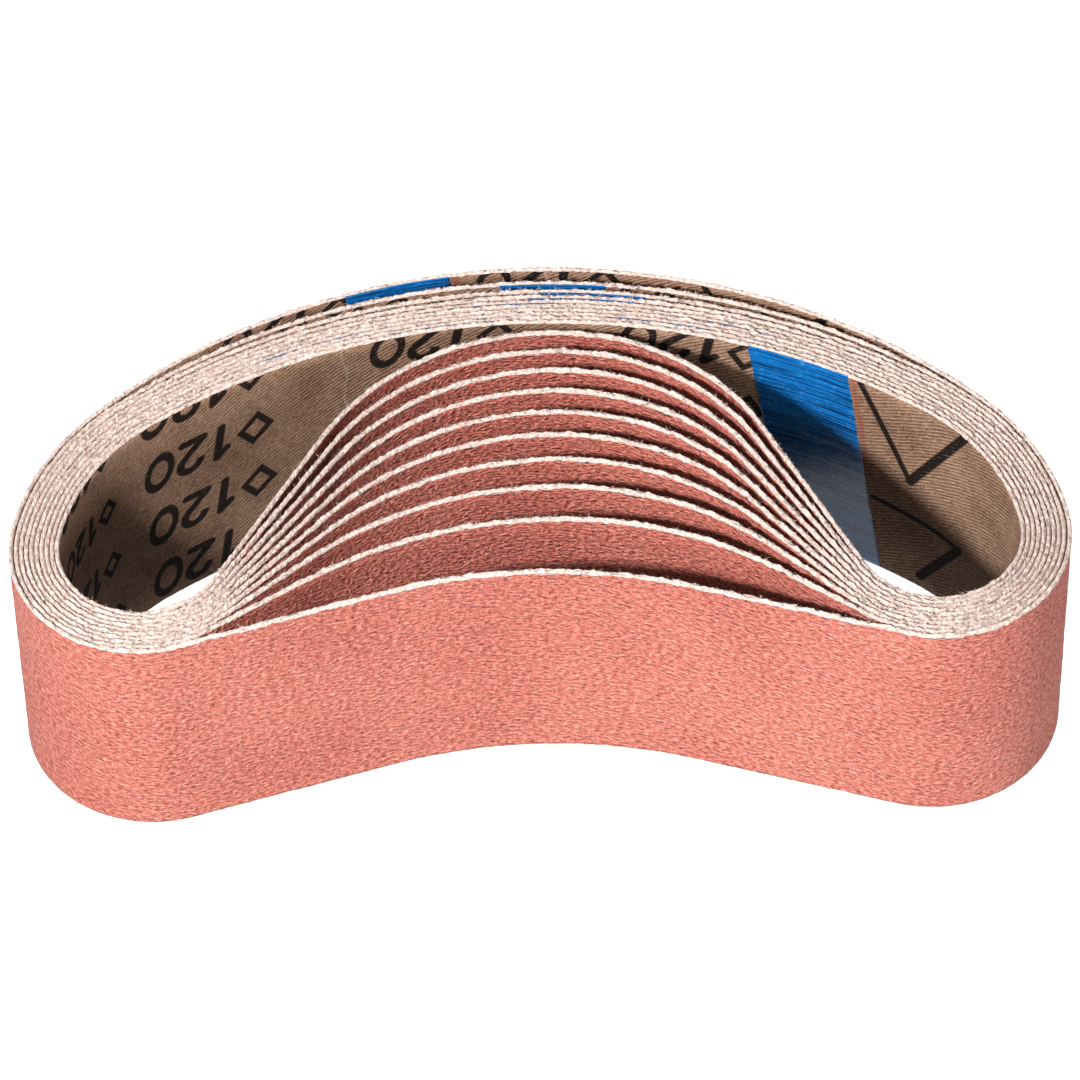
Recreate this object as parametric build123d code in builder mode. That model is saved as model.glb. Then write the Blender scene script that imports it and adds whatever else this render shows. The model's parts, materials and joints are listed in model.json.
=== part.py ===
from build123d import *
import os
from collections import namedtuple
from math import atan2, cos, degrees, pi, radians, sin, tan

# A nested pack of endless sanding belts. Every belt has the same length, so an inner belt, whose
# ends turn tighter, arches its front further in. Millimetres and degrees; +Z is up, along the
# belts' width, +X runs along the pack, and the origin is the middle of the outermost belt's base.

# one belt
belt_count = 10
belt_length = 450.0  # once round, along the middle of the cloth
belt_width = 50.0
cloth_thickness = 0.50
grain_thickness = 0.24  # glue coats and grain, on the outside of the cloth

# the taped joint, on the inside of the cloth
tape_width = 19.0
tape_thickness = 0.05
tape_slant = 9.0  # the joint's lean from square across the belt
joint_places = (-21.0, 7.0, 14.0, 12.0, -2.0, 38.0, -38.0, 26.0, -13.0, 51.6)  # from mid back

# how the pack lies
nest_clearance = 0.14  # between one belt's cloth and the next belt's grain
shoulder_radius = 46.6  # between the back and the end, outside the outermost belt
end_radius = 23.1  # round the end, outside the outermost belt
back_turn = 44.0  # direction turned through by the end of the back
shoulder_turn = 80.3  # direction turned through by the end of the shoulder
flank_slope = 16.7  # of the outermost belt's front, beside its arch
arch_share = 0.43  # half width of the outermost front arch, as a share of the flank's foot
arch_lean = 2.5  # how far right of the middle the inner belts' arches stand
crest_gap = 1.8  # between the crest of the innermost front and the back behind it
crest_crowding = 0.70  # 1 spaces the crests of the fronts evenly, less crowds them at the back
back_slack = 4.05  # how far the backs sag from tight nesting, at most
slack_left = 0.45  # share of that sag still to come after each belt
end_slack = 0.10  # looseness of the outermost belt round its ends

belt_thickness = cloth_thickness + grain_thickness
pitch = belt_thickness + nest_clearance
middle = grain_thickness + cloth_thickness / 2  # the middle of the cloth, in from the grain's face
steepest = radians(85)

# one half of a front: the flank's slope, in radians, and length, and the radius of its half arch
Half = namedtuple("Half", "slope flank arch_radius")

# a belt's outer face: places and radii of its arcs, and the directions turned through, in radians
Loop = namedtuple(
    "Loop",
    "apex_y back_radius back_turn shoulder_radius shoulder_turn end_x end_y end_radius "
    "crest_y left right",
)


def solve(error, low, high):
    """Halve the range until error, which rises from below zero to above it, is zero."""
    for _ in range(50):
        centre = (low + high) / 2
        if error(centre) < 0:
            low = centre
        else:
            high = centre
    return (low + high) / 2


def half_front(end_y, end_radius, reach, share, slope):
    """Half of a front with a given slope, and its crest's y: reach is from end centre to crest."""
    foot = reach - end_radius * sin(slope)
    flank = foot * (1 - share) / cos(slope)
    arch = foot * share / sin(slope)
    crest_y = end_y - end_radius * cos(slope) + flank * sin(slope) + arch * (1 - cos(slope))
    return Half(slope, flank, arch), crest_y


def half_to_crest(end_y, end_radius, reach, share, crest_y):
    """Half of a front whose crest is at a given y."""
    slope = solve(
        lambda a: half_front(end_y, end_radius, reach, share, a)[1] - crest_y,
        radians(1), steepest,
    )
    return half_front(end_y, end_radius, reach, share, slope)[0]


def length_round(loop):
    """Length of a belt, along the middle of its cloth."""
    length = 2 * (loop.back_radius - middle) * loop.back_turn
    length += 2 * (loop.shoulder_radius - middle) * (loop.shoulder_turn - loop.back_turn)
    for half in (loop.left, loop.right):
        length += (loop.end_radius - middle) * (pi + half.slope - loop.shoulder_turn)
        length += half.flank + (half.arch_radius + middle) * half.slope
    return length


def outermost(back_radius):
    """The outermost belt for a given radius of its back, centred on the origin front to back."""
    turn, shoulder = radians(back_turn), radians(shoulder_turn)
    from_back = back_radius - shoulder_radius
    from_shoulder = shoulder_radius - end_radius
    end_x = from_back * sin(turn) + from_shoulder * sin(shoulder)
    drop = back_radius - from_back * cos(turn) - from_shoulder * cos(shoulder)
    apex_y = (drop + end_radius) / 2
    half, crest_y = half_front(apex_y - drop, end_radius, end_x, arch_share, radians(flank_slope))
    return Loop(
        apex_y, back_radius, turn, shoulder_radius, shoulder,
        end_x, apex_y - drop, end_radius, crest_y, half, half,
    )


def apex_of(outer, place):
    """The y of the back's outer face, at its middle, on the belt that is place belts in."""
    return outer.apex_y - place * pitch - end_slack - back_slack * (1 - slack_left**place)


def crest_of(outer, place):
    """The y of the front's outer face, at its crest, on the belt that is place belts in."""
    last = belt_count - 1
    furthest = apex_of(outer, last) - 2 * belt_thickness - crest_gap
    return outer.crest_y + (furthest - outer.crest_y) * (place / last) ** crest_crowding


def nested(outer, place):
    """The belt that is place belts in: its ends nest and its arch takes up the length left."""
    inset = place * pitch + end_slack
    end, shoulder = outer.end_radius - inset, outer.shoulder_radius - inset
    end_y = outer.end_y - end_slack
    apex_y = apex_of(outer, place)
    centre_x = outer.end_x - (shoulder - end) * sin(outer.shoulder_turn)
    centre_y = end_y - (shoulder - end) * cos(outer.shoulder_turn)
    rise = apex_y - centre_y
    back = (centre_x**2 + rise**2 - shoulder**2) / (2 * (rise - shoulder))
    turn = atan2(centre_x, centre_y - (apex_y - back))
    crest_y = crest_of(outer, place)

    def with_share(share):
        left, right = (
            half_to_crest(end_y, end, outer.end_x + side * arch_lean, share, crest_y)
            for side in (1, -1)
        )
        return Loop(
            apex_y, back, turn, shoulder, outer.shoulder_turn,
            outer.end_x, end_y, end, crest_y, left, right,
        )

    return with_share(solve(lambda share: length_round(with_share(share)) - belt_length, 0.02, 0.98))


def draw_loop(loop, inset):
    """Draw a belt's outline clockwise from its left shoulder, inset from the grain's face."""
    back_radius = loop.back_radius - inset
    across = back_radius * sin(loop.back_turn)
    down = back_radius * (1 - cos(loop.back_turn))
    start = (-across, loop.apex_y - inset - down)
    heading = (cos(loop.back_turn), sin(loop.back_turn))
    turn_shoulder = degrees(loop.shoulder_turn - loop.back_turn)
    turn_end = degrees(pi - loop.shoulder_turn)
    turn_left, turn_right = degrees(loop.left.slope), degrees(loop.right.slope)

    back = JernArc(start, heading, back_radius, -2 * degrees(loop.back_turn))
    shoulder = JernArc(back @ 1, back % 1, loop.shoulder_radius - inset, -turn_shoulder)
    end = JernArc(shoulder @ 1, shoulder % 1, loop.end_radius - inset, -turn_end - turn_right)
    flank = Line(end @ 1, end @ 1 + (end % 1) * loop.right.flank)
    arch = JernArc(flank @ 1, flank % 1, loop.right.arch_radius + inset, turn_right)
    arch = JernArc(arch @ 1, arch % 1, loop.left.arch_radius + inset, turn_left)
    flank = Line(arch @ 1, arch @ 1 + (arch % 1) * loop.left.flank)
    end = JernArc(flank @ 1, flank % 1, loop.end_radius - inset, -turn_left - turn_end)
    JernArc(end @ 1, end % 1, loop.shoulder_radius - inset, -turn_shoulder)


def make_layer(loop, outside, inside):
    """One layer of a belt, between two insets from the grain's face."""
    with BuildPart() as layer:
        with BuildSketch(Plane.XY):
            with BuildLine():
                draw_loop(loop, outside)
            make_face()
            with BuildLine():
                draw_loop(loop, inside)
            make_face(mode=Mode.SUBTRACT)
        extrude(amount=belt_width)
    return layer


def make_tape(loop, place):
    """The joint's tape: a strip with slanted ends, against the inside of the cloth at the back."""
    radius = loop.back_radius - belt_thickness
    centre_y = loop.apex_y - loop.back_radius
    around = place / radius
    lean = belt_width * tan(radians(tape_slant))
    reach = degrees((tape_width + lean) / radius)
    out = Vector(sin(around), cos(around), 0)
    across = Plane(
        origin=Vector(0, centre_y, belt_width / 2) + out * radius,
        x_dir=(cos(around), -sin(around), 0),
        z_dir=-out,
    )
    with BuildPart() as tape:
        with BuildSketch(Plane.XY):
            with BuildLine():
                start = 90 - degrees(around) - reach
                outside = CenterArc((0, centre_y), radius, start, 2 * reach)
                inside = CenterArc((0, centre_y), radius - tape_thickness, start, 2 * reach)
                Line(outside @ 0, inside @ 0)
                Line(outside @ 1, inside @ 1)
            make_face()
        extrude(amount=belt_width)
        with BuildSketch(across):
            Polygon(
                (-(tape_width + lean) / 2, belt_width / 2),
                ((tape_width - lean) / 2, belt_width / 2),
                ((tape_width + lean) / 2, -belt_width / 2),
                (-(tape_width - lean) / 2, -belt_width / 2),
                align=None,
            )
        extrude(amount=tape_width, both=True, mode=Mode.INTERSECT)
    return tape


def save(piece, name):
    """Label a finished piece and write it as one STEP file."""
    piece.part.label = name
    export_step(piece.part, f"parts/{name}.step")


os.makedirs("parts", exist_ok=True)
back_radius = solve(lambda r: length_round(outermost(r)) - belt_length, shoulder_radius, belt_length)
outer_loop = outermost(back_radius)

for place in range(belt_count):
    loop = nested(outer_loop, place) if place else outer_loop
    name = f"belt_{place + 1:02d}"

    grain = make_layer(loop, 0, grain_thickness)
    save(grain, f"{name}_grain")

    cloth = make_layer(loop, grain_thickness, belt_thickness)
    save(cloth, f"{name}_cloth")

    tape = make_tape(loop, joint_places[place % len(joint_places)])
    save(tape, f"{name}_joint_tape")
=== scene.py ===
import json
import math

import bmesh
import bpy
import numpy as np
from mathutils import Matrix, Vector

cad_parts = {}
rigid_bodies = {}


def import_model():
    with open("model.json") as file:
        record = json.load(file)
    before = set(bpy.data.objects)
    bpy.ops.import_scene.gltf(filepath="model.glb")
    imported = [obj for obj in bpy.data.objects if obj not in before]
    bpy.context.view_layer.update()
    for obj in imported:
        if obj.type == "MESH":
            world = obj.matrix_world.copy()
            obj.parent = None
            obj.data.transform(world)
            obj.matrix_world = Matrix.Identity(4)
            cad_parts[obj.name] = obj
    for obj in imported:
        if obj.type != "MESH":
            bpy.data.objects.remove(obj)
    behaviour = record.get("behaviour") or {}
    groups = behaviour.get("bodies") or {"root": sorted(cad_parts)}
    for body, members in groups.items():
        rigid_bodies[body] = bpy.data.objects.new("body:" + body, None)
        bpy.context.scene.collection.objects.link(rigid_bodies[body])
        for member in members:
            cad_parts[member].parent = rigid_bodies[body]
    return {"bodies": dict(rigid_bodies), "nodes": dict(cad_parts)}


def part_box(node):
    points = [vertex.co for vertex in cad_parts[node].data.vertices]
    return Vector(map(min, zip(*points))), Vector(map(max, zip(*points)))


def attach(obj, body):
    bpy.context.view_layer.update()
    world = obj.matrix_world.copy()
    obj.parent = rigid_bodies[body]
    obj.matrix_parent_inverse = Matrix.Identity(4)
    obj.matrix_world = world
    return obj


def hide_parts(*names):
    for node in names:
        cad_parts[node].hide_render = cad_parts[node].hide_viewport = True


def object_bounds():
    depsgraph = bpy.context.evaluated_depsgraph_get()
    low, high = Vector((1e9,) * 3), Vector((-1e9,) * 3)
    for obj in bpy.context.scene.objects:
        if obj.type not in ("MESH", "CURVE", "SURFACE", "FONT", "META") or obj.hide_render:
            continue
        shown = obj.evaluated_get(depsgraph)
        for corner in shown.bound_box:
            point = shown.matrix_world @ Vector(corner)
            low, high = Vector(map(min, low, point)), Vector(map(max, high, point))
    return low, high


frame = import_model()
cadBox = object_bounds()

# A nested pack of ten cloth sanding belts. Every belt is built round its own CAD outline: woven
# cloth inside, grain outside, frayed cut edges, and the tape over the joint. Metres throughout.
mm = 0.001
belts = sorted(frame["bodies"])
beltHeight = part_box("belt_01_cloth")[1].z
print("frame loaded:", len(belts), "belts")


# outlines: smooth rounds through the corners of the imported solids

def rims(node):
    # the outlines of the node's top face, each a loop of corners running clockwise from above
    bm = bmesh.new()
    bm.from_mesh(frame["nodes"][node].data)
    bmesh.ops.remove_doubles(bm, verts=bm.verts, dist=1e-7)
    top = max(v.co.z for v in bm.verts)
    lid = {f for f in bm.faces if all(top - v.co.z < 1e-6 for v in f.verts)}
    beside = {}
    for face in lid:
        for edge in face.edges:
            if sum(f in lid for f in edge.link_faces) == 1:
                a, b = edge.verts
                beside.setdefault(a, []).append(b)
                beside.setdefault(b, []).append(a)
    loops = []
    while beside:
        walk = [next(iter(beside))]
        while True:
            ahead = [v for v in beside.pop(walk[-1]) if v in beside]
            if not ahead:
                break
            walk.append(ahead[0])
        corners = np.array([v.co.xy for v in walk], float)
        x, y = corners.T
        turn = np.sum(x * np.roll(y, -1) - np.roll(x, -1) * y)
        loops.append(corners[::-1] if turn > 0 else corners)
    bm.free()
    return sorted(loops, key=lambda c: -np.ptp(c[:, 0]))


def roundOff(corners, stepsEach=16):
    # a side's turn is found from the turns at its two ends, so each side becomes its own arc again
    sides = np.roll(corners, -1, axis=0) - corners
    lengths = np.hypot(sides[:, 0], sides[:, 1])
    headings = np.arctan2(sides[:, 1], sides[:, 0])
    bends = (headings - np.roll(headings, 1) + math.pi) % (2 * math.pi) - math.pi
    pairs = np.eye(len(corners)) + np.roll(np.eye(len(corners)), -1, axis=1)
    turns = np.linalg.lstsq(pairs, 2 * bends, rcond=None)[0]
    reach = lengths / (3 * np.cos(turns / 4) ** 2)
    t = np.arange(stepsEach)[:, None, None] / stepsEach

    def handle(angles):
        return reach[:, None] * np.stack([np.cos(angles), np.sin(angles)], axis=1)

    a, d = corners, np.roll(corners, -1, axis=0)
    b, c = a + handle(headings - turns / 2), d - handle(headings + turns / 2)
    points = (1 - t) ** 3 * a + 3 * (1 - t) ** 2 * t * b + 3 * (1 - t) * t**2 * c + t**3 * d
    return points.transpose(1, 0, 2).reshape(-1, 2)


def alongFrom(points):
    steps = np.roll(points, -1, axis=0) - points
    return np.concatenate([[0], np.cumsum(np.hypot(steps[:, 0], steps[:, 1]))])


class Round:
    # a belt's outside outline; places along it are measured clockwise from the taped joint
    def __init__(self, belt):
        outside, inside = (roundOff(rim) for rim in rims(f"{belt}_cloth"))
        self.face = roundOff(rims(f"{belt}_grain")[0])
        self.grainDepth = self.face[:, 1].max() - outside[:, 1].max()
        self.depth = self.face[:, 1].max() - inside[:, 1].max()
        along = alongFrom(self.face)
        self.length = along[-1]
        low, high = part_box(f"{belt}_joint_tape")
        # the outline runs clockwise, so its back is where x grows
        back = np.roll(self.face, -1, axis=0)[:, 0] > self.face[:, 0]
        backPlaces, backX = along[:-1][back], self.face[back, 0]
        ends = [backPlaces[np.abs(backX - x).argmin()] for x in (low.x, high.x)]
        if abs(ends[1] - ends[0]) > self.length / 2:  # the joint lies across the outline's start
            ends[int(ends[0] > ends[1])] += self.length
        self.joint = sum(ends) / 2 % self.length
        apex = backPlaces[np.abs(backX).argmin()]
        self.fromMiddle = (self.joint - apex + self.length / 2) % self.length - self.length / 2
        self.along = along

    def at(self, places):
        # points on the outline and the directions out of the belt there
        closed = np.vstack([self.face, self.face[:1]])

        def read(where):
            where = (where + self.joint) % self.length
            return np.stack([np.interp(where, self.along, closed[:, k]) for k in (0, 1)], axis=-1)

        ahead = read(places + 0.15 * mm) - read(places - 0.15 * mm)
        ahead /= np.linalg.norm(ahead, axis=-1, keepdims=True)
        return read(places), np.stack([-ahead[..., 1], ahead[..., 0]], axis=-1)

    def placed(self, places, depths, heights):
        # points at these places along, depths in from the grain's face, and heights
        points, out = self.at(places)
        flat = points - np.asarray(depths)[..., None] * out
        return np.concatenate([flat, np.asarray(heights)[..., None]], axis=-1)


def grounds(rows, columns, step, size, lean, seed):
    # random ground that closes on itself both ways; step is between its points and size is its
    # blobs', both along and then across, in millimetres
    white = np.random.default_rng(seed).standard_normal((rows, columns))
    up = np.fft.fftfreq(rows, step[1])[:, None]
    along = np.fft.rfftfreq(columns, step[0])[None]
    c, s = math.cos(math.radians(lean)), math.sin(math.radians(lean))
    fade = (size[0] * (along * c + up * s)) ** 2 + (size[1] * (up * c - along * s)) ** 2
    made = np.fft.irfft2(np.fft.rfft2(white) * np.exp(-20 * fade), s=(rows, columns))
    return made / made.std()


def ringFaces(rows, columns):
    k, i = np.meshgrid(np.arange(rows), np.arange(columns), indexing="ij")
    below, beside = (k + 1) % rows, (i + 1) % columns
    around = [k * columns + i, k * columns + beside, below * columns + beside, below * columns + i]
    return np.stack(around, axis=-1).reshape(-1, 4)


def ringPlaces(length, columns, across):
    # each face corner's place along and across, running on past the join instead of back to 0
    rows = len(across) - 1
    k, i = np.meshgrid(np.arange(rows), np.arange(columns), indexing="ij")
    u = np.stack([i, i + 1, i + 1, i], axis=-1) * length / columns
    v = across[np.stack([k, k, k + 1, k + 1], axis=-1)]
    return np.stack([u, v], axis=-1).reshape(-1, 2)


def turnedOut(points, faces, places):
    # a closed surface's faces, and the places at their corners, with its outside outside
    a, b, c, d = (points[faces[:, k]] for k in range(4))
    volume = np.sum(a * np.cross(b, c)) + np.sum(a * np.cross(c, d))
    if volume > 0:
        return faces, places
    return faces[:, ::-1], places.reshape(-1, 4, 2)[:, ::-1].reshape(-1, 2)


def addPiece(name, points, faces, places, finish):
    mesh = bpy.data.meshes.new(name)
    mesh.from_pydata(points, [], faces)
    mesh.uv_layers.new(name="lay").data.foreach_set("uv", places.astype(np.float32).ravel())
    mesh.shade_smooth()
    mesh.materials.append(finish)
    piece = bpy.data.objects.new(name, mesh)
    bpy.context.scene.collection.objects.link(piece)
    return piece


class Value:
    # a number or colour on its way through a finish; sums written with it add Math nodes
    def __init__(self, finish, socket):
        self.finish, self.socket = finish, socket

    def sum(self, operation, *values):
        return self.finish.node("ShaderNodeMath", {"operation": operation}, dict(enumerate(values)))

    def __add__(self, other):
        return self.sum("ADD", self, other)

    def __sub__(self, other):
        return self.sum("SUBTRACT", self, other)

    def __rsub__(self, other):
        return self.sum("SUBTRACT", other, self)

    def __mul__(self, other):
        return self.sum("MULTIPLY", self, other)

    def __truediv__(self, other):
        return self.sum("DIVIDE", self, other)

    def __pow__(self, other):
        return self.sum("POWER", self, other)

    def __mod__(self, other):
        return self.sum("FLOORED_MODULO", self, other)

    def __abs__(self):
        return self.sum("ABSOLUTE", self)

    def least(self, other):
        return self.sum("MINIMUM", self, other)

    def most(self, other):
        return self.sum("MAXIMUM", self, other)

    def within(self):
        return self.sum("MINIMUM", self.sum("MAXIMUM", self, 0), 1)

    def sine(self):
        return self.sum("SINE", self)

    __radd__ = __add__
    __rmul__ = __mul__


class Finish:
    def __init__(self, name, **constants):
        self.material = bpy.data.materials.new(name)
        self.material.use_nodes = True
        self.tree = self.material.node_tree
        self.shader = self.tree.nodes["Principled BSDF"]
        for socket, value in constants.items():
            self.shader.inputs[socket.replace("_", " ")].default_value = value

    def node(self, kind, settings=None, sockets=None, out=0):
        made = self.tree.nodes.new(kind)
        for name, value in (settings or {}).items():
            if name != "stops":
                setattr(made, name, value)
                continue
            ramp = made.color_ramp.elements
            while len(ramp) < len(value):
                ramp.new(0.5)
            for element, (position, colour) in zip(ramp, value):
                element.position, element.color = position, (*colour, 1)
        for name, value in (sockets or {}).items():
            if isinstance(value, Value):
                self.tree.links.new(value.socket, made.inputs[name])
            else:
                made.inputs[name].default_value = value
        return Value(self, made.outputs[out])

    def lay(self):
        # millimetres along and up the belt
        flat = self.node("ShaderNodeUVMap", {"uv_map": "lay"})
        return self.node("ShaderNodeVectorMath", {"operation": "SCALE"}, {0: flat, "Scale": 1000.0})

    def body(self):
        # metres, in the belt's own frame
        return self.node("ShaderNodeTexCoord", out="Object")

    def parts(self, vector):
        return [self.node("ShaderNodeSeparateXYZ", None, {0: vector}, out=k) for k in (0, 1)]

    def stretched(self, vector, along, across, turn=0.0):
        # turn is how far the drawn-out direction rises from along the belt, in degrees
        return self.node("ShaderNodeMapping", {"vector_type": "TEXTURE"}, {
            "Vector": vector, "Scale": (1 / along, 1 / across, 1),
            "Rotation": (0, 0, math.radians(turn))})

    def noise(self, vector, scale, detail=2.0, rough=0.5):
        return self.node("ShaderNodeTexNoise", {"noise_dimensions": "3D"}, {
            "Vector": vector, "Scale": scale, "Detail": detail, "Roughness": rough})

    def specks(self, vector, scale):
        return self.node("ShaderNodeTexVoronoi", {"feature": "F1"}, {
            "Vector": vector, "Scale": scale}, out="Distance")

    def ramp(self, value, *stops):
        return self.node("ShaderNodeValToRGB", {"stops": stops}, {"Fac": value})

    def mix(self, share, first, second):
        return self.node("ShaderNodeMix", {"data_type": "RGBA"}, {
            0: share, 6: first, 7: second}, out=2)

    def colour(self, value):
        self.tree.links.new(value.socket, self.shader.inputs["Base Color"])

    def rough(self, value):
        self.tree.links.new(value.socket, self.shader.inputs["Roughness"])

    def bump(self, *layers):
        # each layer is a height and the distance it stands for, in metres
        normal = {}
        for height, distance in layers:
            made = self.node("ShaderNodeBump", None, {
                "Height": height, "Distance": distance, "Strength": 1.0, **normal})
            normal = {"Normal": made}
        self.tree.links.new(normal["Normal"].socket, self.shader.inputs["Normal"])


def rgb(*parts):
    return (*parts, 1.0)


# In the finishes, a pattern's fineness is its blobs a millimetre, and a depth is in millimetres.
grainCoat = {
    "dark_and_pit_shade": (0.22, 0.030, 0.023), "middle": (0.62, 0.174, 0.127), "tips": (0.87, 0.385, 0.308),
    "painted_glint": (0.95, 0.70, 0.64), "roughness": 0.86,
    "granules": 1.3, "ripples": 1.5, "grit": 3.6, "broad": 0.03, "glints": 1.5,
    "rippleDepth": 1.05, "gritDepth": 0.10,
}


def makeGrainCoat():
    look = grainCoat
    finish = Finish("grain_coat", Roughness=0.8, Specular_IOR_Level=0.35)
    lay = finish.lay()
    body = finish.body()
    granules = finish.noise(finish.stretched(lay, 0.63, 1.18, 10), look["granules"], 4.0, 0.60)
    ripples = finish.noise(finish.stretched(lay, 0.72, 1.22, 12), look["ripples"], 1.6, 0.5)
    grit = finish.noise(body, look["grit"] / mm, 2.0, 0.6)
    broad = finish.noise(body, look["broad"] / mm, 2.0)
    # the tone is partly random and partly the ripples and grit that also make the bump, so the
    # bump's pits are painted darker (painted shade) and its tips paler (painted light)
    tone = (granules - 0.5) * 1.2 + (ripples - 0.5) * 0.95
    tone = tone + (grit - 0.5) * 0.6 + (broad - 0.5) * 0.3 + 0.52
    colour = finish.ramp(tone.within(), (0.14, look["dark_and_pit_shade"]), (0.52, look["middle"]),
                         (0.92, look["tips"]))
    # glint specks: a painted highlight, pale specks mixed into the grain's colour where its
    # roughness is also lowered
    glints = finish.specks(body, look["glints"] / mm)
    shine = ((0.17 - glints) * 14).within() * ((grit - 0.42) * 6).within()
    finish.colour(finish.mix(shine * 0.8, colour, rgb(*look["painted_glint"])))
    finish.rough(look["roughness"] - shine * 0.4)
    finish.bump((ripples, look["rippleDepth"] * mm), (grit, look["gritDepth"] * mm))
    return finish.material


cutEdge = {
    "thread": (0.765, 0.640, 0.575), "tuft_shade": (0.57, 0.350, 0.295), "pink": (0.68, 0.34, 0.28),
    "brown": (0.30, 0.19, 0.14), "hollow_shade": (0.36, 0.21, 0.165),
    "fluff": 4.2, "tufts": 1.5, "clumps": 1.7, "clumpDepth": 0.34, "fluffDepth": 0.05,
}


def makeCutEdgeThread():
    look = cutEdge
    finish = Finish("cut_edge_thread", Roughness=0.95, Specular_IOR_Level=0.15)
    body = finish.body()
    across = finish.parts(finish.lay())[1] / 1000  # 0 at the grain's side, 1 at the cloth's inside
    fluff = finish.noise(body, look["fluff"] / mm, 3.0, 0.65)
    tufts = finish.noise(body, look["tufts"] / mm, 3.0, 0.6)
    # darker pink-brown patches where the tufts and fluff run high: painted shade among the threads
    tuft_shade = ((tufts - 0.47) * 4.5 + (fluff - 0.5) * 2.5).within()
    thread = finish.mix(tuft_shade * 0.75, rgb(*look["thread"]), rgb(*look["tuft_shade"]))
    pink = ((tufts - 0.52) * 6 + (0.30 - across) * 1.2).within() * ((0.60 - across) * 4).within()
    thread = finish.mix(pink * 0.45, thread, rgb(*look["pink"]))
    brown = ((across - 0.84) * 9.0 + (fluff - 0.5) * 2.0).within()
    thread = finish.mix(brown * 0.7, thread, rgb(*look["brown"]))
    # darker where the fluff that makes the bump runs low: painted shade in its hollows
    hollow_shade = ((0.42 - fluff) * 7).within()
    finish.colour(finish.mix(hollow_shade * 0.5, thread, rgb(*look["hollow_shade"])))
    clumps = finish.noise(body, look["clumps"] / mm, 1.0, 0.5)
    finish.bump((clumps, look["clumpDepth"] * mm), (fluff, look["fluffDepth"] * mm))
    return finish.material


# lengths in millimetres; places run along the belt, and heights up it, as the chevrons' corners do
clothBacking = {
    "yarn": (0.320, 0.184, 0.118), "dark_and_groove_shade": (0.075, 0.038, 0.024), "worn": (0.54, 0.37, 0.26),
    "ink": (0.009, 0.007, 0.007), "stain": (0.26, 0.075, 0.050),
    "lint": (0.62, 0.54, 0.46), "crease": (0.62, 0.52, 0.44), "creasePitch": 97.0,
    "ribPitch": 0.78, "ribRise": 30.0, "ribDepth": 0.10, "yarnDepth": 0.16, "fluffDepth": 0.08,
    "length": 450.0, "gluePlace": 10.4,
    "rowHeight": 5.9, "rowPitch": 15.0, "rowStep": 4.0, "stepPlace": -40.0,
    "markPlace": -58.8, "markPitch": 45.0, "markHeight": 8.7, "slant": 0.17, "stroke": 1.95,
    "rowsMiddle": -22.0, "rowsReach": 70.0,
    "smallPlace": -88.5, "smallShare": 0.72,
    "chevrons": (((59.0, 50.5), (70.3, 28.3), (82.0, 49.6)),
                 ((63.0, 19.2), (82.0, 17.8), (73.3, 3.0))),
}


def segment(x, y, start, end):
    # distance from a straight stroke
    (ax, ay), (bx, by) = start, end
    dx, dy = bx - ax, by - ay
    share = (((x - ax) * dx + (y - ay) * dy) / (dx * dx + dy * dy)).within()
    return ((x - ax - share * dx) ** 2 + (y - ay - share * dy) ** 2) ** 0.5


def ring(x, y, centre, radii):
    r = (((x - centre[0]) / radii[0]) ** 2 + ((y - centre[1]) / radii[1]) ** 2) ** 0.5
    return abs(r - 1) * (sum(radii) / 2)


def gradeMark(x, y):
    # a grade number, 120, after a diamond: distance from its strokes, for digits 1 high
    diamond = abs(abs(x + 1.13) + abs(y) * 0.85 - 0.33)
    one = segment(x, y, (-0.30, -0.44), (-0.30, 0.44)).least(
        segment(x, y, (-0.30, 0.44), (-0.50, 0.24)))
    bowl = ring(x, y, (0.35, 0.20), (0.24, 0.24))
    bowl = bowl + ((0.16 - y).most(0) * (0.47 - x).most(0)) * 30  # its lower left isn't drawn
    two = bowl.least(segment(x, y, (0.53, 0.05), (0.12, -0.42))).least(
        segment(x, y, (0.12, -0.43), (0.62, -0.43)))
    zero = ring(x, y, (1.13, 0.0), (0.29, 0.44))
    return diamond.least(one).least(two).least(zero)


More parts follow.
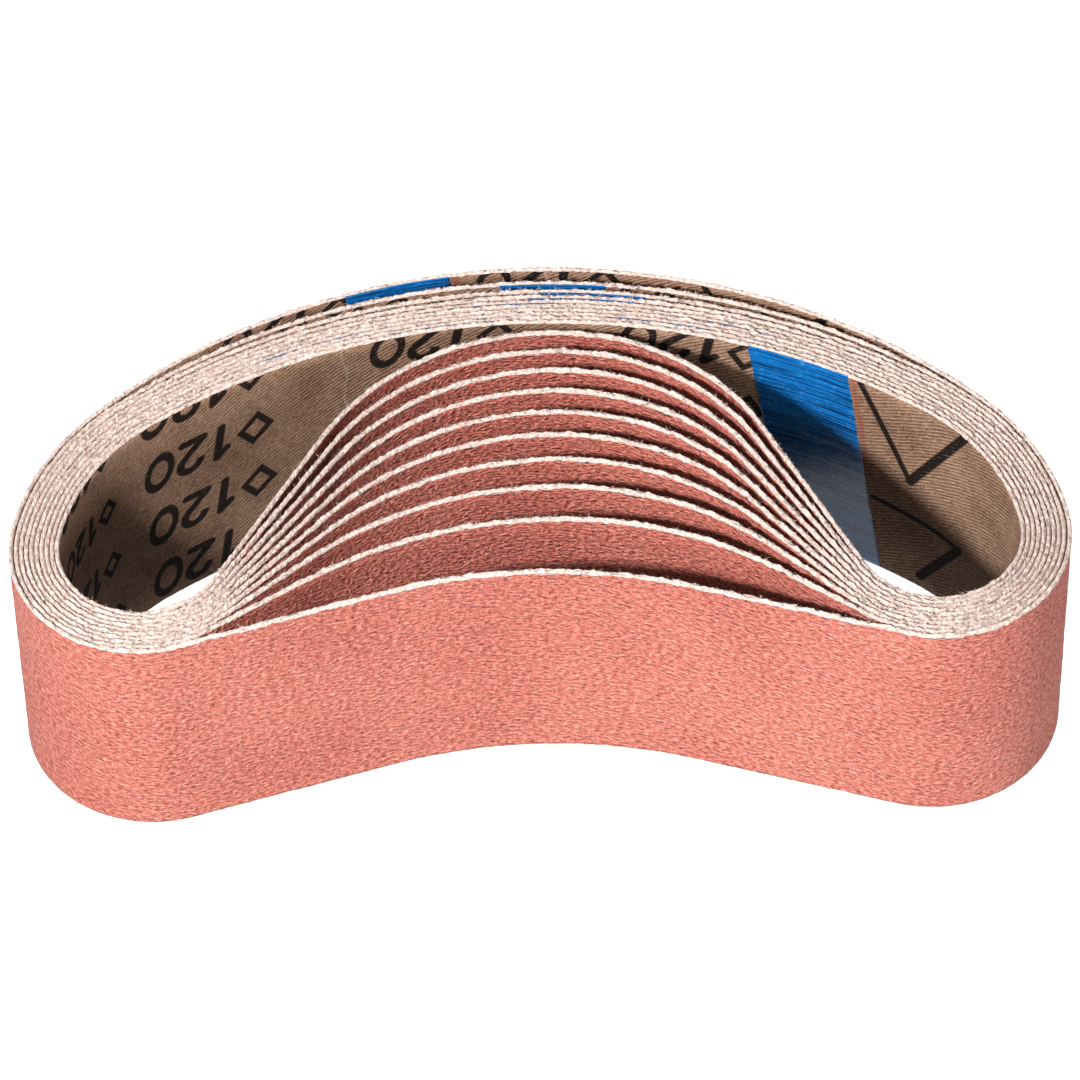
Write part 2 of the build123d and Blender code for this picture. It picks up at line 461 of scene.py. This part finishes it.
def makeClothBacking(name, markShift):
    # markShift is how far along from the joint the marks are counted, in millimetres
    look = clothBacking
    finish = Finish(name, Roughness=0.9, Specular_IOR_Level=0.08)
    lay = finish.lay()
    u, v = finish.parts(lay)
    body = finish.body()
    wander = finish.noise(finish.stretched(lay, 0.5, 0.5), 0.35, 2.0)
    rise = math.radians(look["ribRise"])
    across = v * math.cos(rise) - u * math.sin(rise) + wander * 0.7
    ribs = (across * (2 * math.pi / look["ribPitch"])).sine() * 0.5 + 0.5
    yarn = finish.noise(finish.stretched(lay, 0.55, 2.6, look["ribRise"]), 1.2, 3.0, 0.65)
    fluff = finish.noise(body, 3.2 / mm, 3.0, 0.7)
    worn = finish.noise(body, 0.09 / mm, 4.0, 0.6)
    # the ribs that make the twill's bump also set its tone, so its troughs are painted darker and
    # its crests paler, painted shade and light on the weave, beside the yarn's own random tone and
    # wear
    tone = ribs * 0.38 + (yarn - 0.5) * 1.4 + (fluff - 0.5) * 1.5 + (worn - 0.5) * 0.7 + 0.33
    colour = finish.ramp(tone.within(), (0.05, look["dark_and_groove_shade"]), (0.60, look["yarn"]),
                         (1.0, look["worn"]))

    # pale fibres lying on the cloth, and thin pale creases across it
    lint = finish.noise(finish.stretched(lay, 1.0, 0.30, 35), 2.6, 2.0, 0.7)
    colour = finish.mix(((lint - 0.70) * 9).within() * 0.55, colour, rgb(*look["lint"]))
    crease = (u + markShift + (wander - 0.5) * 3 + 66.5) % look["creasePitch"]
    crease = ((0.26 - crease.least(look["creasePitch"] - crease)) * 6).within()
    crease = crease * ((worn - 0.36) * 6).within()
    colour = finish.mix(crease * 0.4, colour, rgb(*look["crease"]))

    # a smear of the joint's glue beside the tape
    lean = math.tan(math.radians(jointTape["slant"]))
    smear = u + (v - beltHeight / mm / 2) * lean + (yarn - 0.5) * 1.2
    smear = ((1.0 - abs(smear - look["gluePlace"])) * 1.2).within() * ((v - 26.0) * 0.10).within()
    colour = finish.mix(smear * 0.7, colour, rgb(*look["stain"]))

    # the marks, upside down: rows of grade numbers, smaller ones, and chevrons for the running
    # direction, all twice round the belt
    half = look["length"] / 2
    place = ((u + (markShift + half)) % look["length"] + half / 2) % half - half / 2
    mark, small = look["markHeight"], look["markHeight"] * look["smallShare"]
    x = (place - look["markPlace"] + look["markPitch"] / 2) % look["markPitch"]
    x = (x - look["markPitch"] / 2) / -mark
    lifted = v + ((place - look["stepPlace"]) * 10).within() * look["rowStep"]
    row = (lifted - look["rowHeight"] + look["rowPitch"] / 2) % look["rowPitch"]
    row = row - look["rowPitch"] / 2
    y = row / -mark
    strokes = gradeMark(x - y * look["slant"], y) * mark
    beyond = abs(place - look["rowsMiddle"]) - look["rowsReach"]
    strokes = strokes + beyond.within() * 20  # none round the chevrons
    x, y = (place - look["smallPlace"]) / -small, row / -small
    strokes = strokes.least(gradeMark(x - y * look["slant"], y) * small + 0.15)
    for foot, tip, end in look["chevrons"]:
        strokes = strokes.least(segment(place, v, foot, tip) + 0.2)  # the first leg is thinner
        strokes = strokes.least(segment(place, v, tip, end) - 0.1)
    edge = (yarn - 0.5) * 0.9 + (fluff - 0.5) * 0.7
    ink = ((look["stroke"] / 2 - strokes + edge * 0.45) * 4).within()
    dry = ((tone - 0.85) * 5).within()
    colour = finish.mix(ink * (0.98 - dry * 0.35), colour, rgb(*look["ink"]))

    finish.colour(colour)
    finish.bump((ribs, look["ribDepth"] * mm), (yarn, look["yarnDepth"] * mm),
                (fluff, look["fluffDepth"] * mm))
    return finish.material


# lengths in millimetres; slant is the tape's lean from square across the belt, in degrees
jointTape = {
    "film": (0.006, 0.160, 0.500), "pale": (0.030, 0.330, 0.800), "thread": (0.002, 0.014, 0.055),
    "scuff": (0.30, 0.42, 0.66), "gloss": 0.09,
    "threadDepth": 0.035, "fineDepth": 0.012, "scuffDepth": 0.006,
    "width": 19.0, "slant": 9.0, "thickness": 0.055, "ridges": 0.012, "endGap": 0.08,
    "rows": 100, "columns": 44,
}


def makeJointTape():
    look = jointTape
    finish = Finish("joint_tape", Specular_IOR_Level=0.42, Roughness=0.3)
    lay = finish.lay()
    body = finish.body()
    threads = finish.noise(finish.stretched(lay, 0.035, 2.1), 1.3, 3.0, 0.7)
    fine = finish.noise(finish.stretched(lay, 0.10, 5.0), 1.2, 2.0, 0.6)
    scuff = finish.noise(body, 1.1 / mm, 4.0, 0.7)
    colour = finish.mix(((scuff - 0.45) * 3).within() * 0.6, rgb(*look["film"]), rgb(*look["pale"]))
    colour = finish.mix(((scuff - 0.60) * 7).within() * 0.35, colour, rgb(*look["scuff"]))
    dark = ((threads - 0.50) * 14).within() * 0.9 + ((fine - 0.53) * 8).within() * 0.6
    finish.colour(finish.mix(dark.within(), colour, rgb(*look["thread"])))
    finish.rough((look["gloss"] + (scuff - 0.5) * 0.12 + dark * 0.06).within())
    finish.bump((threads, look["threadDepth"] * mm), (fine, look["fineDepth"] * mm),
                (scuff, look["scuffDepth"] * mm))
    return finish.material


# millimetres; the cloth and the grain end at the rim drop, inside the frayed edges
fray = {
    "step": 0.18, "stepBelow": 0.5,  # between the edge's points, above and below
    "lipOutside": (0.36, 0.95), "lipInside": (0.36, 0.62),  # how far the threads lap down
    "crown": 0.18, "tuft": 0.14, "bulge": 0.012, "rimDrop": -0.33,
    "perMillimetre": 4.0, "longest": 1.2, "usual": 0.46, "fibreRadius": 0.045,
}


def rimmed(shares):
    # heights up the belt, for shares of the height between its two rims
    drop = -fray["rimDrop"] * mm
    return drop + shares * (beltHeight - 2 * drop)


def addRing(name, points, across, outline, finish):
    # a layer of a belt, from its rows of points and their places across
    rows, columns = points.shape[:2]
    points = points.reshape(-1, 3)
    places = ringPlaces(outline.length, columns, across)
    return addPiece(name, points, *turnedOut(points, ringFaces(rows, columns), places), finish)


clothWeave = {"step": 0.9, "rows": 30, "sway": 0.012}


def makeCloth(name, outline, finish, seed):
    columns = round(outline.length / (clothWeave["step"] * mm))
    inner = np.linspace(0, 1, clothWeave["rows"])
    heights = rimmed(np.concatenate([inner, [1, 0.5, 0]]))
    depths = np.concatenate([np.full(len(inner), outline.depth),
                             np.full(3, outline.grainDepth + 0.01 * mm)])
    sway = grounds(len(depths), columns, (0.9, 1.7), (6.0, 6.0), 0, seed) * clothWeave["sway"] * mm
    sway[len(inner):] = 0
    depths = depths[:, None] - np.abs(sway)
    places = np.arange(columns) * outline.length / columns
    heights = np.broadcast_to(heights[:, None], depths.shape)
    points = outline.placed(np.broadcast_to(places, depths.shape), depths, heights)
    across = np.concatenate([heights[:, 0], [heights[0, 0]]])
    return addRing(name, points, across, outline, finish)


# millimetres; the outermost belt has the fine steps
grainRelief = {
    "steps": (1.0, 0.6), "fineSteps": (0.62, 0.42),  # between the face's points, along and up
    "ripples": (((1.15, 0.42), 7, 0.75), ((0.75, 0.42), -14, 0.55)),  # size, lean and share
    "ripple": 0.030, "swell": 0.012, "inset": 0.045, "limits": (-0.03, 0.13),
}


def makeGrain(name, outline, finish, seed, fine):
    look = grainRelief
    step = look["fineSteps"] if fine else look["steps"]
    columns = round(outline.length / (step[0] * mm))
    faceRows = round(beltHeight / (step[1] * mm)) + 1
    ripples = sum(grounds(faceRows, columns, step, size, lean, seed + k) * share
                  for k, (size, lean, share) in enumerate(look["ripples"]))
    swells = grounds(faceRows, columns, step, (5.0, 3.0), 0, seed + 2)
    relief = ripples * look["ripple"] + swells * look["swell"]
    face = np.clip(look["inset"] - relief, *look["limits"]) * mm
    behind = np.full((3, columns), outline.grainDepth - 0.01 * mm)
    depths = np.concatenate([face, behind])
    heights = rimmed(np.concatenate([np.linspace(0, 1, faceRows), [1, 0.5, 0]]))
    places = np.arange(columns) * outline.length / columns
    heights = np.broadcast_to(heights[:, None], depths.shape)
    points = outline.placed(np.broadcast_to(places, depths.shape), depths, heights)
    across = np.concatenate([heights[:, 0], [heights[0, 0]]])
    return addRing(name, points, across, outline, finish)


def edgeRing(outline, seed, top):
    # one cut edge: a rough roll of thread ends, lapping a little down both faces of the belt
    step = fray["step"] if top else fray["stepBelow"]
    columns = round(outline.length / (step * mm))
    still = np.zeros(columns)

    def run(size, offset):
        return grounds(1, columns, (step, 1), (size, 0), 0, seed + offset)[0]

    def lip(limits, offset):
        low, high = limits
        wave = 0.45 + 0.28 * run(0.3, offset) + 0.15 * run(0.9, offset + 1)
        return low + (high - low) * np.clip(wave + 0.10 * run(5.0, offset + 2), 0, 1.2)

    outLip, inLip = lip(fray["lipOutside"], 11), lip(fray["lipInside"], 14)
    depth, grain = outline.depth / mm, outline.grainDepth / mm
    crown, bulge = fray["crown"], fray["bulge"]
    # depth in from the grain's face, height over the edge, and how freely the threads stray there
    section = [
        (0.012, -outLip, 0.5), (-bulge, -0.6 * outLip, 0.8), (0.03, -0.25, 1.0), (0.13, -0.06, 1.2),
        (0.29, 0.85 * crown, 1.4), (0.50, crown, 1.4), (0.64, -0.03, 1.2), (0.73, -0.26, 1.0),
        (depth + 0.01, -0.6 * inLip, 0.6), (depth - 0.01, -inLip, 0.4),
        (depth - 0.12, -0.5, 0.0), (grain, -0.5, 0.0),
    ]
    depths = np.array([d + still for d, _, _ in section])
    heights = np.array([h + still for _, h, _ in section])
    free = np.array([f for _, _, f in section])[:, None]
    tufts = np.array([run(0.22, 20 + k) for k in range(len(section))])
    lumps = np.array([run(0.5, 40 + k) for k in range(len(section))])
    swells = run(1.6, 60)
    heights = heights + (0.6 * tufts + 0.6 * lumps + 0.3 * swells) * fray["tuft"] * free
    depths = depths + np.roll(tufts, 3, axis=1) * 0.022 * free
    depths = np.clip(depths, -bulge - 0.02, depth + bulge + 0.02)
    heights[2:8] = np.maximum(heights[2:8], fray["rimDrop"] + 0.015)
    if not top:  # the lower edge stands on something, so its threads are pressed flat
        heights = np.minimum(heights * 0.45, -0.01)
    places = np.broadcast_to(np.arange(columns) * outline.length / columns, depths.shape)
    z = beltHeight + heights * mm if top else -heights * mm
    points = outline.placed(places, depths * mm, z).reshape(-1, 3)
    # the last three rows run back inside the belt
    across = np.concatenate([np.linspace(0, 1, len(section) - 2), (0.7, 0.35, 0)])
    laid = ringPlaces(outline.length, columns, across)
    return points, [turnedOut(points, ringFaces(*depths.shape), laid)]


def looseFibres(outline, seed, top):
    # short bent fibres that stand out of the cut edge, each a thin three-sided rod with a tip
    r = np.random.default_rng(seed)
    count = int(outline.length / mm * fray["perMillimetre"] * (1 if top else 0.25))
    root = r.uniform(0, outline.length, count)
    into = r.beta(1.2, 1.2, count) * outline.depth
    length = np.minimum(r.lognormal(math.log(fray["usual"]), 0.45, count), fray["longest"]) * mm
    if not top:
        length *= 0.7
    rise = r.uniform(0.25, 1.0, count) if top else r.uniform(-0.1, 0.1, count)
    along = r.normal(0, 0.75, count)
    outwards = r.normal(0.0, 0.45, count) - (into / outline.depth - 0.5) * 0.9
    aim = np.stack([along, outwards, rise], axis=1)
    aim /= np.linalg.norm(aim, axis=1, keepdims=True)
    bend = r.normal(0, 0.35, (count, 3))
    bend[:, 2] -= 0.25 if top else 0
    start = np.stack([root, -into, np.full(count, 0.05 * mm)], axis=1)
    middle = start + aim * length[:, None] * 0.55
    tip = start + (aim + bend * 0.6) * length[:, None]
    radius = fray["fibreRadius"] * mm * r.uniform(0.6, 1.25, count)
    side = np.cross(aim, np.where(np.abs(aim[:, :1]) > 0.8, [[0, 1, 0]], [[1, 0, 0]]))
    side /= np.linalg.norm(side, axis=1, keepdims=True)
    other = np.cross(aim, side)
    corners = []
    for centre, share in ((start, 1.0), (middle, 0.9)):
        for k in range(3):
            a = 2 * math.pi * k / 3
            spoke = side * math.cos(a) + other * math.sin(a)
            corners.append(centre + spoke * radius[:, None] * share)
    corners.append(tip)
    corners = np.stack(corners, axis=1).reshape(-1, 3)  # seven corners a fibre
    z = beltHeight + corners[:, 2] if top else np.maximum(corners[:, 2], 0.01 * mm)
    points = outline.placed(corners[:, 0], -corners[:, 1], z)
    base = np.arange(count)[:, None, None] * 7
    pattern = [(0, 1, 4, 3), (1, 2, 5, 4), (2, 0, 3, 5)]
    tips = [(3, 4, 6), (4, 5, 6), (5, 3, 6), (2, 1, 0)]
    quads = (base + np.array(pattern)).reshape(-1, 4)
    triangles = (base + np.array(tips)).reshape(-1, 3)
    laid = np.stack([corners[:, 0], np.repeat(into / outline.depth, 7)], axis=1)
    return points, [(group, laid[group].reshape(-1, 2)) for group in (quads, triangles)]


def makeCutEdges(name, outline, finish, seed):
    points, faces, places, count = [], [], [], 0
    for top in (True, False):
        start = seed if top else seed + 500
        for made, groups in (edgeRing(outline, start, top), looseFibres(outline, start + 7, top)):
            for corners, laid in groups:
                faces += (corners + count).tolist()
                places.append(laid)
            points.append(made)
            count += len(made)
    return addPiece(name, np.concatenate(points), faces, np.concatenate(places), finish)


def makeTape(name, outline, finish, seed):
    # a thin film on the inside of the cloth, its two ends slanted and its long threads just proud
    look = jointTape
    rows, columns = look["rows"], look["columns"]
    width, lean = look["width"] * mm, math.tan(math.radians(look["slant"]))
    across, up = np.meshgrid(np.linspace(-width / 2, width / 2, columns), np.linspace(0, 1, rows))
    edge = grounds(rows, 8, (1, 0.5), (3, 0.7), 0, seed)[:, :2] * 0.05 * mm
    share = across / width + 0.5
    places = across + lean * (0.5 - up) * beltHeight
    places = places + edge[:, :1] * (1 - share) + edge[:, 1:] * share
    heights = up * (beltHeight - 2 * look["endGap"] * mm) + look["endGap"] * mm
    ridges = grounds(rows, columns, (width / columns / mm, 0.5), (9.0, 0.5), 0, seed + 1)
    proud = look["ridges"] * mm * (1 + np.clip(ridges, -1, 1.5))
    front = outline.depth + look["thickness"] * mm + proud
    back = np.full(front.shape, outline.depth + 0.002 * mm)
    points = np.concatenate([outline.placed(places, depths, heights).reshape(-1, 3)
                             for depths in (front, back)])

    # faces: the front, the back, and a wall round the rim between them
    index = np.arange(rows * columns).reshape(rows, columns)
    grid = np.stack([index[:-1, :-1], index[:-1, 1:], index[1:, 1:], index[1:, :-1]], axis=-1)
    grid = grid.reshape(-1, 4)
    rim = np.concatenate([index[0], index[1:, -1], index[-1, -2::-1], index[-2:0:-1, 0]])
    ahead = np.roll(rim, -1)
    wall = np.stack([ahead, rim, rim + index.size, ahead + index.size], axis=1)
    faces = np.concatenate([grid, grid[:, ::-1] + index.size, wall])
    flat = np.stack([across.ravel(), heights.ravel()], axis=1)
    laid = np.concatenate([flat, flat])[faces].reshape(-1, 2)
    return addPiece(name, points, *turnedOut(points, faces, laid), finish)


grainFinish = makeGrainCoat()
edgeFinish = makeCutEdgeThread()
tapeFinish = makeJointTape()
print("finishes made")

# how far along each belt's marks lie, in millimetres; the innermost belt's are set from its back
markShifts = {"belt_01": 8.0, "belt_02": 25.0, "belt_03": 70.0, "belt_04": 118.0, "belt_05": 33.0,
              "belt_06": 92.0, "belt_07": 150.0, "belt_08": 12.0, "belt_09": 61.0}

for number, belt in enumerate(belts, 1):
    outline = Round(belt)
    seed = 1000 * number
    shift = markShifts.get(belt, outline.fromMiddle / mm)
    clothFinish = makeClothBacking(f"cloth_backing_{number:02d}", shift)
    cloth = makeCloth(f"{belt}_woven_cloth", outline, clothFinish, seed + 1)
    grain = makeGrain(f"{belt}_grain_coat", outline, grainFinish, seed + 100, number == 1)
    edges = makeCutEdges(f"{belt}_cut_edges", outline, edgeFinish, seed + 200)
    tape = makeTape(f"{belt}_tape", outline, tapeFinish, seed + 300)
    for piece, slot in ((cloth, "cloth_backing"), (grain, "grain_coat"),
                        (edges, "cloth_backing"), (tape, "joint_tape")):
        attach(piece, belt)
    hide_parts(f"{belt}_cloth")
    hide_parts(f"{belt}_grain")
    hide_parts(f"{belt}_joint_tape")
print("belts made")


# a lamp's azimuth, from straight in front and positive to the right, then its elevation, in
# degrees, its distance and size in metres, and its power
studio = {
    "floor": (0.93, 0.93, 0.93), "floorGlow": 1.0, "world": 0.25,
    "lamps": {
        "key": (-36.0, 43.0, 1.1, 0.13, 15.8),
        "front_fill": (26.0, 3.0, 1.6, 1.2, 24.5),
        "back_fill": (170.0, 6.0, 1.6, 1.2, 16.0),
    },
}


def makeFloor():
    bpy.ops.mesh.primitive_plane_add(size=8, location=(0, 0, -0.0002))
    floor = bpy.context.object
    floor.name = "floor"
    finish = Finish("floor_paper", Roughness=0.9, Specular_IOR_Level=0.1,
                    Base_Color=rgb(*studio["floor"]), Emission_Color=rgb(1, 1, 1),
                    Emission_Strength=studio["floorGlow"])
    floor.data.materials.append(finish.material)
    floor.visible_diffuse = False  # so the bright paper doesn't light the belts from below


def addLamp(name, azimuth, elevation, distance, size, power):
    a, e = math.radians(azimuth), math.radians(elevation)
    lamp = bpy.data.objects.new(name, bpy.data.lights.new(name, "AREA"))
    lamp.data.energy, lamp.data.size = power, size
    place = Vector((math.sin(a) * math.cos(e), -math.cos(a) * math.cos(e), math.sin(e))) * distance
    lamp.location = place
    lamp.rotation_euler = place.to_track_quat("Z", "Y").to_euler()
    bpy.context.scene.collection.objects.link(lamp)


makeFloor()
for lamp, settings in studio["lamps"].items():
    addLamp(lamp, *settings)
world = bpy.data.worlds.new("studio")
world.use_nodes = True
world.node_tree.nodes["Background"].inputs["Color"].default_value = rgb(1, 1, 1)
world.node_tree.nodes["Background"].inputs["Strength"].default_value = studio["world"]
bpy.context.scene.world = world
bpy.context.scene.view_settings.view_transform = "Standard"

# degrees, metres, and the lens in millimetres
camera = {"elevation": 52.0, "distance": 1.257, "lens": 236.8, "roll": 1.10}


def makeCamera():
    low, high = cadBox
    e, roll = math.radians(camera["elevation"]), math.radians(camera["roll"])
    ahead = Vector((0, math.cos(e), -math.sin(e)))
    plumb, level = Vector((0, math.sin(e), math.cos(e))), Vector((1, 0, 0))
    up = plumb * math.cos(roll) + level * math.sin(roll)
    right = level * math.cos(roll) - plumb * math.sin(roll)
    made = bpy.data.objects.new("camera", bpy.data.cameras.new("camera"))
    made.data.lens, made.data.sensor_width = camera["lens"], 36.0
    made.data.clip_end = 20
    eye = (low + high) / 2 - ahead * camera["distance"]
    made.matrix_world = Matrix.Translation(eye) @ Matrix((right, up, -ahead)).transposed().to_4x4()
    bpy.context.scene.collection.objects.link(made)
    bpy.context.scene.camera = made


makeCamera()
print("studio ready")
